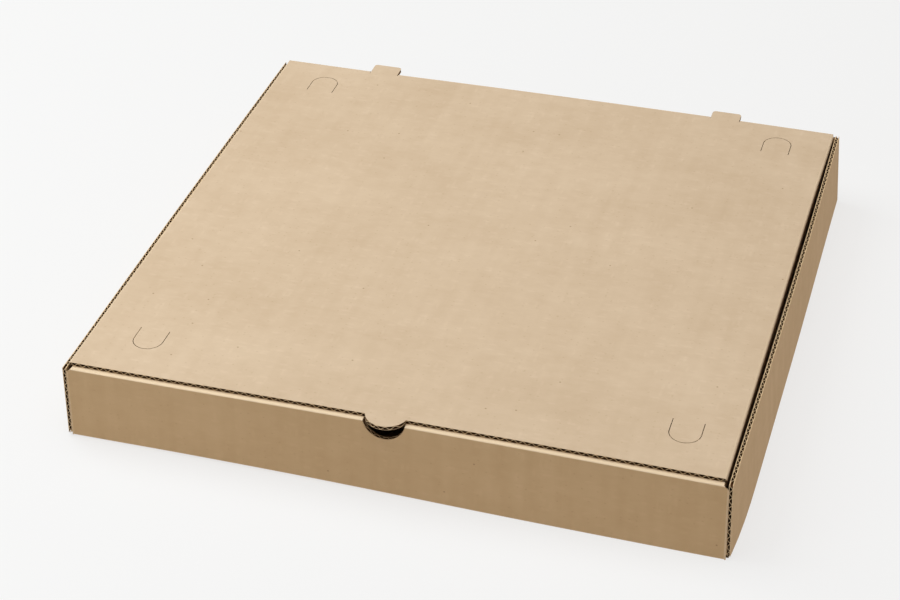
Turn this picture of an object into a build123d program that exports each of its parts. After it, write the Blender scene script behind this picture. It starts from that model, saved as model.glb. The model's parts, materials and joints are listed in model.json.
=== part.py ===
"""Pizza box folded from one die-cut sheet of corrugated board.

The tray is the base with its walls folded up: a front wall rolled over into a double wall
with a thumb notch, single side walls with raw edges, and a rear wall from which the lid
hinges. Ears at the ends of the front and rear walls are glued inside the side walls.
The lid has side flaps tucked inside the tray, a thumb tongue over the notch, two tabs cut
out of the rear wall, and four push-in vents.

Frame: millimetres, origin at the centre of the base's underside, +Z up, the front wall
towards -Y. The flutes of the board run front to back, so they show at the front cut edges.
"""

import os
from math import cos, radians, sin, tan

from build123d import *

os.makedirs("parts", exist_ok=True)

# ---- Board ----
board = 2.8            # thickness over both liners
liner = 0.35           # each flat face sheet
medium = 0.3           # the waved sheet between them
flute_pitch = 5.93     # crest to crest
glue_line = 0.93       # medium pressed flat on a liner at each crest
hollow_tip = 0.35      # half the width of a hollow between two such crests
sheet_gap = 0.2        # air between two faces that only lie against each other
fold_crush = 3.0       # flutes are pressed shut this far either side of a fold across them

# ---- Tray ----
width = 460.0          # over the side walls at half their length, along X
depth = 458.0          # over the front and rear walls, along Y
wall_height = 56.0
crease_radius = 2.4    # outside of a 90 degree fold
roll_radius = 2.0      # the two tighter folds along the top of the front wall
corner_cut = 3.0       # bevel of the front wall's top corners
ear_length = 60.0
ear_height = 32.0
ear_shoulder = 50.0    # height of the ear right at its fold
shoulder_run = 6.0
notch_radius = 15.0
notch_centre_z = 60.4
notch_x = -1.5         # off the middle, like the lid's tongue
lock_width = 40.0      # tabs of the inner front panel, in slots of the base
lock_spacing = 260.0
lock_play = 0.3

# ---- Lid ----
lid_width = 447.2
lid_play = -1.2        # the lid rests this far off centre between the side walls
lid_setback = 3.9      # its front edge behind the front wall's face
lid_fold_radius = 2.6
flap_length = 44.0     # side flap, measured down its outer face from the lid's top
flap_slant = 6.5       # degrees by which the flap leans in from vertical
flap_gap = 0.8         # flap behind the inner front panel
flap_taper = 16.0      # how much each end of the flap leans in over its height
tongue_radius = 14.3
tongue_reach = 6.2     # tongue past the front wall's face
tab_spacing = 280.4
tab_width = 22.4
tab_length = 11.5
tab_corner = 2.5
tab_play = 0.6
hinge_inset = 0.6      # hinge line inside the rear fold's outer faces, on its diagonal

# ---- Vents: name, middle along X from the lid's middle, crease line, way from the crease ----
vent_radius = 10.5     # to the middle of the slit
vent_leg = 13.6
vent_slit = 0.5
vents = [
    ("vent_front_left", -182.0, -172.0, -1),
    ("vent_front_right", 189.2, -172.0, -1),
    ("vent_rear_left", -183.0, 184.0, 1),
    ("vent_rear_right", 184.6, 187.6, 1),
]

# ---- Rows of flutes, by their number of crests ----
lid_crests = 73
flap_crests = 6
tab_crests = 4
vent_crests = 5
side_crests = 10
notch_crests = 5
side_crest_drop = 1.0  # last whole crest of a side wall below its cut top edge
flap_row_drop = 1.5    # middle of a side flap's row below the flap's own middle

# ---- Derived places ----
front_face = -depth / 2
rear_face = depth / 2
crease_y = rear_face - board
inner_x = width / 2 - board
side_x = width / 2 - board / 2
wall_x = inner_x - sheet_gap
ear_inset = board + 2 * sheet_gap
roll_back = front_face + 2 * board + sheet_gap
side_row_top = wall_height - side_crest_drop + flute_pitch
side_row_middle = side_row_top - (side_crests - 1) / 2 * flute_pitch

lid_half = lid_width / 2
lid_under = wall_height + sheet_gap
lid_top = lid_under + board
lid_front = front_face + lid_setback
lid_plane = Plane(origin=(lid_play, crease_y, 0), x_dir=(1, 0, 0), z_dir=(0, -1, 0))
tongue_centre = front_face - tongue_reach + tongue_radius
tab_reach = rear_face + tab_length
tab_crest_x = round(tab_spacing / 2 / flute_pitch - 0.5) * flute_pitch + flute_pitch / 2
hinge_y = rear_face - hinge_inset
hinge_z = lid_top - hinge_inset
slot_floor = hinge_z - (tab_reach - hinge_y) - tab_play

slant = radians(flap_slant)
flap_front = roll_back + flap_gap
flap_rear = crease_y - fold_crush
flap_foot = flap_length * sin(slant)
flap_drop = flap_length * cos(slant)
flap_in = board * cos(slant)
flap_up = board * sin(slant)
flap_middle = flap_length / 2 + flap_row_drop
flap_middle_x = lid_half - flap_middle * sin(slant) - flap_in / 2
flap_middle_z = lid_top - flap_middle * cos(slant) + flap_up / 2

# ---- One hollow of the board: long side on a liner, point towards the other liner ----
hollow_height = board - 2 * liner - medium
hollow_half = (flute_pitch - glue_line) / 2

with BuildSketch() as hollow:
    Polygon(
        (-hollow_half, 0),
        (hollow_half, 0),
        (hollow_tip, -hollow_height),
        (-hollow_tip, -hollow_height),
        align=None,
    )


def hollows(middle, crests, turn=0.0):
    """Draw both rows of hollows of a board, as a cut across its flutes shows them.

    middle is the middle of the board in the sketch, crests the number of waves, and turn
    the board's angle in degrees.
    """
    face = board / 2 - liner
    with Locations(Location((middle[0], middle[1], 0), (0, 0, turn))):
        with Locations((0, face)):
            with GridLocations(flute_pitch, 1, crests, 1):
                add(hollow.sketch)
        with Locations(Location((0, -face, 0), (0, 0, 180))):
            with GridLocations(flute_pitch, 1, crests - 1, 1):
                add(hollow.sketch)


def vent_outline(middle, crease, way, radius):
    """Draw a vent: straight legs from its crease to a half-round end."""
    with Locations((lid_play + middle, crease + way * vent_leg / 2)):
        Rectangle(2 * radius, vent_leg)
    with Locations((lid_play + middle, crease + way * vent_leg)):
        Circle(radius)


# ---- Front wall: up from the base's fold, over the top and down inside ----
with BuildPart() as front_wall:
    with BuildSketch(Plane.YZ) as roll:
        with Locations((front_face, 0)):
            Rectangle(2 * board + sheet_gap, wall_height, align=Align.MIN)
        fillet(roll.vertices().group_by(Axis.Y)[-1], roll_radius)
        fillet(roll.vertices().group_by(Axis.Y)[0].sort_by(Axis.X)[0], crease_radius)
        with Locations((front_face + board, board)):
            Rectangle(sheet_gap, wall_height - 2 * board, align=Align.MIN, mode=Mode.SUBTRACT)
            Rectangle(2 * board, sheet_gap, align=Align.MIN, mode=Mode.SUBTRACT)
    extrude(amount=wall_x, both=True)

    # Folds round its ends lead into the ears, and its top corners are cut off.
    with BuildSketch() as plan:
        with Locations((0, front_face)):
            Rectangle(2 * wall_x, 3 * board, align=(Align.CENTER, Align.MIN))
        fillet(plan.vertices().group_by(Axis.Y)[0], crease_radius)
    extrude(amount=wall_height, mode=Mode.INTERSECT)
    with BuildSketch(Plane.XZ) as elevation:
        Rectangle(2 * wall_x, wall_height, align=(Align.CENTER, Align.MIN))
        chamfer(elevation.vertices().group_by(Axis.Y)[-1], corner_cut)
    extrude(amount=depth, both=True, mode=Mode.INTERSECT)

    # The inner panel is narrower than the outer one, to fit between the ears.
    with BuildSketch(Plane.YZ.offset(-wall_x), Plane.YZ.offset(wall_x - ear_inset)):
        with Locations((front_face + board, 0)):
            Rectangle(2 * board, ear_shoulder + sheet_gap, align=Align.MIN)
    extrude(amount=ear_inset, mode=Mode.SUBTRACT)

    # Its flutes stand upright, and show where the thumb notch cuts through both panels.
    with BuildSketch(Plane.XY.offset(wall_height / 2)):
        hollows((notch_x, front_face + board / 2), notch_crests)
        hollows((notch_x, roll_back - board / 2), notch_crests)
    extrude(amount=wall_height / 2 - board, mode=Mode.SUBTRACT)
    with BuildSketch(Plane.XZ):
        with Locations((notch_x, notch_centre_z)):
            Circle(notch_radius)
    extrude(amount=depth, mode=Mode.SUBTRACT)

# ---- Rear wall: one panel, with the two openings left by the lid's tabs ----
with BuildPart() as rear_wall:
    with BuildSketch(Plane.YZ) as panel:
        with Locations((crease_y, 0)):
            Rectangle(board, wall_height, align=Align.MIN)
        fillet(panel.vertices().group_by(Axis.Y)[0].sort_by(Axis.X)[-1], crease_radius)
    extrude(amount=wall_x, both=True)
    with BuildSketch() as plan:
        with Locations((0, rear_face)):
            Rectangle(2 * wall_x, 3 * board, align=(Align.CENTER, Align.MAX))
        fillet(plan.vertices().group_by(Axis.Y)[-1], crease_radius)
    extrude(amount=wall_height, mode=Mode.INTERSECT)
    with BuildSketch(Plane.XZ):
        with Locations((lid_play, slot_floor)):
            with GridLocations(tab_spacing, 1, 2, 1):
                Rectangle(tab_width + 2 * tab_play, wall_height, align=(Align.CENTER, Align.MIN))
    extrude(amount=-depth, mode=Mode.SUBTRACT)

# ---- Tray: base and side walls, with the front and rear walls folded up from the base ----
with BuildPart() as tray:
    with BuildSketch(Plane.XZ) as channel:
        Rectangle(width, wall_height, align=(Align.CENTER, Align.MIN))
        fillet(channel.vertices().group_by(Axis.Y)[0], crease_radius)
        with Locations((0, board)):
            Rectangle(2 * inner_x, wall_height, align=(Align.CENTER, Align.MIN), mode=Mode.SUBTRACT)
    extrude(amount=crease_y, both=True)

    # The side walls run on past those folds to their raw ends.
    with BuildSketch(Plane.XZ):
        with Locations((0, board)):
            with GridLocations(2 * side_x, 1, 2, 1):
                Rectangle(board, wall_height - board, align=(Align.CENTER, Align.MIN))
    extrude(amount=depth / 2, both=True)

    # Their flutes run along them: open at both ends, and cut through at the top edge.
    with BuildSketch(Plane.XZ):
        hollows((-side_x, side_row_middle), side_crests, 90)
        hollows((side_x, side_row_middle), side_crests, 90)
    extrude(amount=depth, both=True, mode=Mode.SUBTRACT)

    add(front_wall.part)
    add(rear_wall.part)

    # Ears: folded back from the ends of both walls and glued inside the side walls.
    for side in (-1, 1):
        with BuildSketch(Plane.YZ.offset(side * inner_x)):
            for end in (-1, 1):
                Polygon(
                    (end * crease_y, board + sheet_gap),
                    (end * crease_y, ear_shoulder),
                    (end * (crease_y - shoulder_run / 2), ear_shoulder),
                    (end * (crease_y - shoulder_run), ear_height),
                    (end * (crease_y - ear_length + shoulder_run), ear_height),
                    (end * (crease_y - ear_length), ear_height - shoulder_run),
                    (end * (crease_y - ear_length), board + sheet_gap),
                    align=None,
                )
        extrude(amount=-side * board)

    # The inner front panel is locked by two tabs in slots of the base.
    with BuildSketch():
        with Locations((0, front_face + board)):
            with GridLocations(lock_spacing, 1, 2, 1):
                Rectangle(
                    lock_width + 2 * lock_play,
                    board + 2 * sheet_gap + lock_play,
                    align=(Align.CENTER, Align.MIN),
                )
    extrude(amount=board, mode=Mode.SUBTRACT)
    with BuildSketch(Plane.XY.offset(lock_play)):
        with Locations((0, roll_back)):
            with GridLocations(lock_spacing, 1, 2, 1):
                Rectangle(lock_width, board, align=(Align.CENTER, Align.MAX))
    extrude(amount=board + sheet_gap)


# ---- Lid: what its outline keeps of the bent board ----
with BuildPart() as lid_bounds:
    with BuildSketch(Plane.XY.offset(lid_under)):
        with Locations((lid_play, lid_front)):
            Rectangle(lid_width, crease_y - lid_front, align=(Align.CENTER, Align.MIN))
        with Locations((lid_play, tongue_centre)):
            Circle(tongue_radius)
    extrude(amount=board)
    with BuildSketch(Plane.YZ):
        Polygon(
            (flap_front, lid_under),
            (flap_rear, lid_under),
            (flap_rear - flap_taper, lid_top - flap_length),
            (flap_front + flap_taper, lid_top - flap_length),
            align=None,
        )
    extrude(amount=width, both=True)

with BuildPart() as lid:
    # Top panel with a side flap folded down at either edge, as one bent board.
    with BuildSketch(lid_plane) as section:
        with BuildLine():
            right_half = Polyline(
                (0, lid_top),
                (lid_half, lid_top),
                (lid_half - flap_foot, lid_top - flap_drop),
                (lid_half - flap_foot - flap_in, lid_top - flap_drop + flap_up),
                (lid_half - board / cos(slant) - board * tan(slant), lid_under),
                (0, lid_under),
            )
            mirror(right_half, about=Plane.YZ)
        make_face()
        fillet(section.vertices().group_by(Axis.Y)[-1].filter_by(lambda v: abs(v.X) > 1), lid_fold_radius)
    extrude(amount=crease_y + depth)
    add(lid_bounds.part, mode=Mode.INTERSECT)

    # The rear fold, cut away at the tabs, which go straight on from the panel.
    with BuildSketch(Plane.YZ.offset(lid_play - lid_half)):
        with BuildLine():
            Line((crease_y, lid_under), (crease_y, lid_top))
            RadiusArc((crease_y, lid_top), (rear_face, lid_under), board)
            Line((rear_face, lid_under), (crease_y, lid_under))
        make_face()
    extrude(amount=lid_width)
    with BuildSketch(Plane.XY.offset(lid_under)):
        with Locations((lid_play, crease_y)):
            with GridLocations(tab_spacing, 1, 2, 1):
                Rectangle(tab_width + 2 * tab_play, 2 * board, align=(Align.CENTER, Align.MIN))
    extrude(amount=board, mode=Mode.SUBTRACT)
    with BuildSketch(Plane.XY.offset(lid_under)) as tab:
        with Locations((lid_play, crease_y)):
            with GridLocations(tab_spacing, 1, 2, 1):
                Rectangle(tab_width, tab_reach - crease_y, align=(Align.CENTER, Align.MIN))
        fillet(tab.vertices().group_by(Axis.Y)[-1], tab_corner)
    extrude(amount=board)

    # Flutes of the panel and the flaps, open at the front and closed by the rear fold.
    with BuildSketch(lid_plane.offset(fold_crush)):
        hollows((0, lid_under + board / 2), lid_crests)
        for side in (-1, 1):
            hollows((side * flap_middle_x, flap_middle_z), flap_crests, 90 - side * flap_slant)
    extrude(amount=2 * depth, mode=Mode.SUBTRACT)

    # Flutes of the tabs, open at their tips.
    with BuildSketch(lid_plane.offset(-fold_crush)):
        for side in (-1, 1):
            hollows((side * tab_crest_x, lid_under + board / 2), tab_crests)
    extrude(amount=-depth, mode=Mode.SUBTRACT)

    # Slits of the vents.
    for _, middle, crease, way in vents:
        with BuildSketch(Plane.XY.offset(lid_under)):
            vent_outline(middle, crease, way, vent_radius + vent_slit / 2)
        extrude(amount=board, mode=Mode.SUBTRACT)

# ---- Vent flaps: one at each vent, hinged at the open side of its slit ----
for name, middle, crease, way in vents:
    with BuildPart() as vent:
        with BuildSketch(Plane.XY.offset(lid_under)):
            vent_outline(middle, crease, way, vent_radius - vent_slit / 2)
        extrude(amount=board)
        # The arc's far half of the circle would reach back over the crease: it is cut off.
        with BuildSketch(Plane.XY.offset(lid_under)):
            with Locations((lid_play + middle, crease + way * (vent_slit + vent_leg))):
                Rectangle(2 * vent_radius, 2 * vent_leg)
        extrude(amount=board, mode=Mode.INTERSECT)
        with BuildSketch(Plane.XZ.offset(-crease - way * fold_crush / 2)):
            crest_x = round(middle / flute_pitch) * flute_pitch
            hollows((lid_play + crest_x, lid_under + board / 2), vent_crests)
        extrude(amount=-way * 2 * vent_leg, mode=Mode.SUBTRACT)
    vent.part.label = name
    export_step(vent.part, f"parts/{name}.step")

tray.part.label = "tray"
export_step(tray.part, "parts/tray.step")
lid.part.label = "lid"
export_step(lid.part, "parts/lid.step")
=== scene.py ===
"""Looks of a folded pizza box of corrugated board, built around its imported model.

Every part of the box is a piece of one flat blank. A point of the blank has a place across
the flutes, a place along them and a depth under the board's outer face, all in millimetres.
Each part lays a grid over its piece of the blank, bends the grid's lines onto the cut edges
and carries it round the folds, once for each of the board's three sheets: an outer liner, a
waved medium and an inner liner.
"""

import json
import logging
import math
from dataclasses import dataclass
from enum import Enum

import bpy
import numpy as np
from mathutils import Matrix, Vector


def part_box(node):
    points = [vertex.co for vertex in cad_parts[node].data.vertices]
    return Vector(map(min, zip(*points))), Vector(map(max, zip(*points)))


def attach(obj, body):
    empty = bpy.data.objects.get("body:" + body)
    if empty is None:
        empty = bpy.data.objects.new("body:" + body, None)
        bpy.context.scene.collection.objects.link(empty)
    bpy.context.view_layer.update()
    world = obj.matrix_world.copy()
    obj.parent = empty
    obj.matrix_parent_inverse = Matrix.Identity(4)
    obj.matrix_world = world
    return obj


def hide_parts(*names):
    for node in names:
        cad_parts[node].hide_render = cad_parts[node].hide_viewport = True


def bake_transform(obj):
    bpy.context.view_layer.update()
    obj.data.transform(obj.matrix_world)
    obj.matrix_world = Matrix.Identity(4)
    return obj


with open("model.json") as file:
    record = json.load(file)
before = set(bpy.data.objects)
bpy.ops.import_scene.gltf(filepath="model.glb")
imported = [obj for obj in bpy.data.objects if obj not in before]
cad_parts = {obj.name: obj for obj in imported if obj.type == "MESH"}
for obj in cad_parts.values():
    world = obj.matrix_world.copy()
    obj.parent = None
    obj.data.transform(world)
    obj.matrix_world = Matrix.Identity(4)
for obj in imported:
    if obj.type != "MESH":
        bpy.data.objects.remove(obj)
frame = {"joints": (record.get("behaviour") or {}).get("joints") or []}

log = logging.getLogger("pizza_box")

MM = 0.001
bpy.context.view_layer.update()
TUCK = 0.01  # stations nearer than this to each other are one station
SHARP_ANGLE = 36  # degrees: an edge that turns by more than this stays sharp
Array = np.ndarray


class Finish(Enum):
    """Material slots of every piece of board, in their order."""

    LINER = 0
    CUT = 1
    # fluting finish: dark medium faces, and the liners' faces towards the flutes as painted shade in the
    # hollows
    FLUTING = 2


class WallEnd(Enum):
    """Which end of the box a wall closes: its sign along Y."""

    FRONT = -1
    REAR = 1


# ---------------------------------------------------------------- board and folds


@dataclass(frozen=True)
class Board:
    """Corrugated board: two flat liners and a waved medium glued between them.

    A fold squeezes the board to a share of its thickness, which eases off over a distance,
    and lightens the paper over a shorter one: partly burnish, partly painted highlight.
    Half the medium's section grows to at most the steepest share of its thickness.
    """

    thickness: float = 2.8
    liner: float = 0.22
    medium: float = 0.4
    pitch: float = 5.93
    squeeze: float = 0.6
    ease: float = 2.0
    # distance over which a fold's lighter colour fades: burnish and painted highlight
    burnish: float = 0.4
    steepest: float = 0.62

    @property
    def swing(self) -> float:
        """Height of the medium's crests over its middle."""
        return (self.thickness - 2 * self.liner - self.medium) / 2

    def wave(self, across: Array) -> tuple[Array, Array]:
        """Work out the medium's section.

        Its middle swings as a cosine about the middle of the board. Its thickness across
        the board is its real one over the cosine of its slope, up to a limit.

        Args:
            across: Places across the flutes.

        Returns:
            Depths of its upper and lower face.
        """
        phase = 2 * math.pi * across / self.pitch
        slope = self.swing * 2 * math.pi / self.pitch * np.sin(phase)
        half = self.medium / 2 * np.sqrt(1 + slope**2)
        half = np.minimum(half, self.medium * self.steepest)
        middle = self.thickness / 2 + self.swing * np.cos(phase)
        return middle - half, middle + half

    def wave_columns(self, first: float, last: float, steps: int) -> Array:
        """Return places across the flutes that divide each wave in so many steps, and both ends."""
        step = self.pitch / steps
        inner = np.arange(math.ceil(first / step), math.floor(last / step) + 1) * step
        return merge_stations([first, last], inner)


BOARD = Board()


def merge_stations(*groups: Array | list) -> Array:
    """Join groups of places into one rising row without doubles."""
    joined = np.sort(np.concatenate([np.atleast_1d(np.asarray(g, float)) for g in groups]))
    return joined[np.concatenate([[True], np.diff(joined) > TUCK])]


def round_steps(middle: float, radius: float, count: int = 20) -> Array:
    """Divide a round edge's arc evenly: its middle plus its radius times the sine of even turns."""
    turns = np.linspace(-math.pi / 2, math.pi / 2, count + 1)
    return middle + radius * np.sin(turns)


def smooth(value: Array) -> Array:
    """Ease a value clipped to 0..1 in and out: three of its squares less two of its cubes."""
    value = np.clip(value, 0, 1)
    return value * value * (3 - 2 * value)


def ramp(value: Array, start: float, end: float) -> Array:
    """Ease from 0 at a start to 1 at an end: smooth, of the share of the way between them."""
    return smooth((value - start) / (end - start))


def dome(value: Array, middle: float, span: float) -> Array:
    """Return 1 less the square of the way from a middle over a span, and 0 past the span."""
    return np.clip(1 - ((value - middle) / span) ** 2, 0, 1)


def halfway(marks: Array) -> Array:
    """Return the places halfway between neighbouring marks."""
    return (marks[1:] + marks[:-1]) / 2


@dataclass(frozen=True)
class Run:
    """Straight stretch of a fold path."""

    length: float


@dataclass(frozen=True)
class Fold:
    """Bend of a fold path towards the board's inner face."""

    radius: float
    turn: float = 90.0
    steps: int = 9


class FoldPath:
    """Section of folded board: its outer face as straight runs joined by arcs.

    The outer face lies on the left of the way that the path goes, and folds turn to the
    right. Near a fold, and at a pressed end, the board is squeezed thinner.
    """

    def __init__(
        self, start: tuple, heading: float, steps: list, pressed: tuple = (False, False),
        origin: float | None = None,
    ) -> None:
        """Lay out the path.

        Args:
            start: First point of the outer face in the section's plane.
            heading: Direction of the first run in degrees from the plane's first axis.
            steps: Runs and folds in order.
            pressed: Whether the first and the last end are squeezed like a fold.
            origin: Distance along the path that counts as 0, or its middle if None.
        """
        point, angle, gone = np.array(start, float), math.radians(heading), 0.0
        points, normals, gaps, spans = [point], [self._left(angle)], [0.0], []
        squeezes = []
        for step in steps:
            if isinstance(step, Run):
                ease = min(BOARD.ease, step.length / 2)
                marks = np.array([BOARD.burnish, ease / 2, ease])
                marks = merge_stations(marks, step.length - marks)
                marks = merge_stations(marks[(marks > TUCK) & (marks < step.length)], [step.length])
                way = np.array([math.cos(angle), math.sin(angle)])
                points += [point + way * mark for mark in marks]
                normals += [self._left(angle)] * len(marks)
                gaps += list(gone + marks)
                point, gone = points[-1], gone + step.length
            else:
                turns = np.radians(np.linspace(0, step.turn, step.steps + 1)[1:])
                centre = point - step.radius * self._left(angle)
                points += [centre + step.radius * self._left(angle - t) for t in turns]
                normals += [self._left(angle - t) for t in turns]
                gaps += list(gone + step.radius * turns)
                spans.append((gone, gaps[-1]))
                squeezes.append(min(BOARD.squeeze, step.radius / BOARD.thickness))
                point, gone, angle = points[-1], gaps[-1], angle - turns[-1]
        distance, start = np.array(gaps), gone / 2 if origin is None else origin
        self.full = np.ones(len(distance))
        self.folds = [(low - start, high - start) for low, high in spans]
        spans += [(0.0, 0.0)] * pressed[0] + [(gone, gone)] * pressed[1]
        squeezes += [BOARD.squeeze] * (pressed[0] + pressed[1])
        for (low, high), squeeze in zip(spans, squeezes):
            away = np.maximum(np.maximum(low - distance, distance - high), 0)
            self.full = np.minimum(self.full, 1 - (1 - squeeze) * (1 - smooth(away / BOARD.ease)))
        self.points, self.normals = np.array(points), np.array(normals)
        self.knots = distance - start

    @staticmethod
    def _left(angle: float) -> Array:
        """Return the unit normal on the left of a direction."""
        return np.array([-math.sin(angle), math.cos(angle)])

    def squeezed(self, along: Array) -> Array:
        """Return the share of its full thickness that the board keeps."""
        return np.interp(along, self.knots, self.full)

    def stretched(self, along: Array) -> Array:
        """Return how far a fold lightens the paper, from 0 to 1: partly burnish, partly painted
        highlight.
        """
        share = 0 * along
        for low, high in self.folds:
            away = np.maximum(np.maximum(low - along, along - high), 0)
            share = np.maximum(share, 1 - smooth(away / BOARD.burnish))
        return share

    def at(self, along: Array, depth: Array) -> tuple[Array, Array]:
        """Find points under the path: the path's point less depth times its normal.

        Args:
            along: Distances along the path.
            depth: Depths under the outer face, already squeezed.

        Returns:
            Both coordinates in the section's plane.
        """
        first = np.interp(along, self.knots, self.points[:, 0])
        second = np.interp(along, self.knots, self.points[:, 1])
        first -= depth * np.interp(along, self.knots, self.normals[:, 0])
        second -= depth * np.interp(along, self.knots, self.normals[:, 1])
        return first, second


# ---------------------------------------------------------------- meshes


@dataclass
class Sheet:
    """One thin closed sheet: corners, four-sided faces, blank places, finishes and stretch, the folds'
    mask of burnish and painted highlight.
    """

    corners: Array
    quads: Array
    blank: Array
    finish: Array
    stretch: Array

    @classmethod
    def close(
        cls, outer: Array, inner: Array, across: Array, along: Array, stretch: Array,
        keep: Array, finishes: tuple,
    ) -> "Sheet":
        """Close a sheet between its two faces.

        Each kept cell of the grid gives a face on both sides, and each side of a kept cell
        with no kept neighbour gives a strip of the cut edge between them.

        Args:
            outer: Grid of points of the outer face, rows by columns by 3.
            inner: The same of the inner face.
            across: Places of the grid across the flutes.
            along: Places of the grid along the flutes.
            stretch: How far folds lighten the paper at each place, as burnish and painted highlight.
            keep: Which cells of the grid are there.
            finishes: Finishes of the outer face, the inner face and the cut edges.

        Returns:
            The closed sheet.
        """
        rows, columns = keep.shape
        count = outer.shape[0] * outer.shape[1]
        ids = np.arange(count).reshape(outer.shape[:2])
        ring = (ids[:-1, :-1], ids[:-1, 1:], ids[1:, 1:], ids[1:, :-1])
        quads = [np.stack(ring, -1)[keep], np.stack(ring[::-1], -1)[keep] + count]
        face = len(quads[0])
        padded = np.pad(keep, 1)
        for corner, (row, column) in enumerate(((-1, 0), (0, 1), (1, 0), (0, -1))):
            beside = padded[1 + row:rows + 1 + row, 1 + column:columns + 1 + column]
            free = keep & ~beside
            near, far = ring[corner][free], ring[(corner + 1) % 4][free]
            quads.append(np.stack([far, near, near + count, far + count], -1))
        quads = np.concatenate(quads)
        used, quads = np.unique(quads, return_inverse=True)
        quads = quads.reshape(-1, 4)
        counts = [face, face, len(quads) - 2 * face]
        finish = np.repeat([f.value for f in finishes], counts)
        corners = np.concatenate([outer.reshape(-1, 3), inner.reshape(-1, 3)])[used]
        blank = np.stack([across.ravel(), along.ravel()], -1)
        blank = np.concatenate([blank, blank])[used]
        stretch = np.concatenate([stretch.ravel(), stretch.ravel()])[used]
        return cls(corners, quads, blank, finish, stretch)


def make_piece(name: str, sheets: list[Sheet], materials: list) -> bpy.types.Object:
    """Join sheets into one object.

    The blank's places are its UV map, in metres, and the folds' mask of burnish and painted highlight the
    attribute stretch.

    Args:
        name: Name of the piece.
        sheets: The sheets of its board.
        materials: Materials in the order of Finish.

    Returns:
        The new object, at the origin.
    """
    starts = np.cumsum([0] + [len(s.corners) for s in sheets[:-1]])
    corners = np.concatenate([s.corners for s in sheets])
    quads = np.concatenate([s.quads + start for s, start in zip(sheets, starts)])
    blank = np.concatenate([s.blank for s in sheets])
    mesh = bpy.data.meshes.new(name)
    mesh.vertices.add(len(corners))
    mesh.vertices.foreach_set("co", (corners * MM).astype(np.float32).ravel())
    mesh.loops.add(quads.size)
    mesh.loops.foreach_set("vertex_index", quads.astype(np.int32).ravel())
    mesh.polygons.add(len(quads))
    mesh.polygons.foreach_set("loop_start", np.arange(0, quads.size, 4, dtype=np.int32))
    for material in materials:
        mesh.materials.append(material)
    finish = np.concatenate([s.finish for s in sheets]).astype(np.int32)
    mesh.polygons.foreach_set("material_index", finish)
    mesh.update(calc_edges=True)
    layer = mesh.uv_layers.new(name="blank")
    layer.data.foreach_set("uv", (blank * MM)[quads.ravel()].astype(np.float32).ravel())
    # stretch marks where folds lighten the paper: partly burnish, partly painted highlight
    stretch = mesh.attributes.new("stretch", "FLOAT", "POINT")
    stretch.data.foreach_set("value", np.concatenate([s.stretch for s in sheets]).astype(np.float32))
    mesh.shade_smooth()
    mesh.set_sharp_from_angle(angle=math.radians(SHARP_ANGLE))
    mesh.validate()
    piece = bpy.data.objects.new(name, mesh)
    bpy.context.scene.collection.objects.link(piece)
    return piece


@dataclass(kw_only=True)
class BoardPart:
    """Piece of folded board: what every part of the box has in common."""

    box: "Box"
    name: str = "board"
    slot: str = "lid_board"
    node: str = "lid"
    wave_steps: int = 12
    liner: float = BOARD.liner

    def stations(self) -> Array:
        """Return the places across the flutes of the liners' columns."""
        raise NotImplementedError

    def marks(self) -> Array:
        """Return the places along the flutes where the rows of an uncut column lie."""
        raise NotImplementedError

    def rows(self, across: Array) -> Array:
        """Return the grid's places along the flutes, rows by columns: straight rows."""
        return self.marks()[:, None] + 0 * across

    def kept(self, across: Array) -> Array:
        """Return which cells are there, for columns of cells with these middles: all of them."""
        return np.ones((len(self.rows(across[:1])) - 1, len(across)), bool)

    def place(self, across: Array, along: Array, depth: Array) -> Array:
        """Return the points of the folded board for places of the blank."""
        raise NotImplementedError

    def stretched(self, across: Array, along: Array) -> Array:
        """Return how far folds lighten the paper as burnish and painted highlight: nowhere on a flat
        part.
        """
        return 0 * along

    def sheet(
        self, columns: Array, depths: tuple, outside: Finish, inside: Finish,
        along: Array | None = None,
    ) -> Sheet:
        """Build one sheet of the board.

        Args:
            columns: Places across the flutes.
            depths: Depth of the outer and of the inner face, over the grid.
            outside: Finish of its outer face.
            inside: Finish of its inner face.
            along: The grid's places along the flutes, all kept, or None for the part's own.

        Returns:
            The closed sheet.
        """
        if along is None:
            along, keep = self.rows(columns), self.kept(halfway(columns))
        else:
            keep = np.ones((len(along) - 1, len(columns) - 1), bool)
        across = np.broadcast_to(columns, along.shape)
        outer, inner = (self.place(across, along, np.broadcast_to(d, along.shape)) for d in depths)
        # stretch: fold mask for the lighter colour, partly burnish, partly painted highlight
        stretch = self.stretched(across, along)
        finishes = (outside, inside, Finish.CUT)
        return Sheet.close(outer, inner, across, along, stretch, keep, finishes)

    def mediums(self, columns: Array) -> list[Sheet]:
        """Build the waved medium between the first and the last of these columns."""
        waves = BOARD.wave_columns(columns[0] + TUCK, columns[-1] - TUCK, self.wave_steps)
        return [self.sheet(waves, BOARD.wave(waves), Finish.FLUTING, Finish.FLUTING)]

    def build(self, materials: list) -> bpy.types.Object:
        """Build all sheets of the board as one piece.

        Args:
            materials: Materials in the order of Finish.

        Returns:
            The new object.
        """
        columns = self.stations()
        last = BOARD.thickness
        sheets = [
            # each liner's face towards the flutes takes the fluting finish: painted shade in the hollows
            self.sheet(columns, (0.0, self.liner), Finish.LINER, Finish.FLUTING),
            self.sheet(columns, (last - self.liner, last), Finish.FLUTING, Finish.LINER),
        ]
        return make_piece(self.name, sheets + self.mediums(columns), materials)

    def dress(self, piece: bpy.types.Object) -> None:
        """Hide the CAD node that the piece stands for, and log the piece's triangles."""
        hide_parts(self.node)
        log.info("%s: %d triangles", piece.name, 2 * len(piece.data.polygons))

    def hang(self, piece: bpy.types.Object) -> None:
        """Let the piece ride the body of its node."""
        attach(piece, self.node)


@dataclass(kw_only=True)
class TrayPart(BoardPart):
    """Piece of the folded tray."""

    slot: str = "tray_board"
    node: str = "tray"


# ---------------------------------------------------------------- the box's sizes


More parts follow.
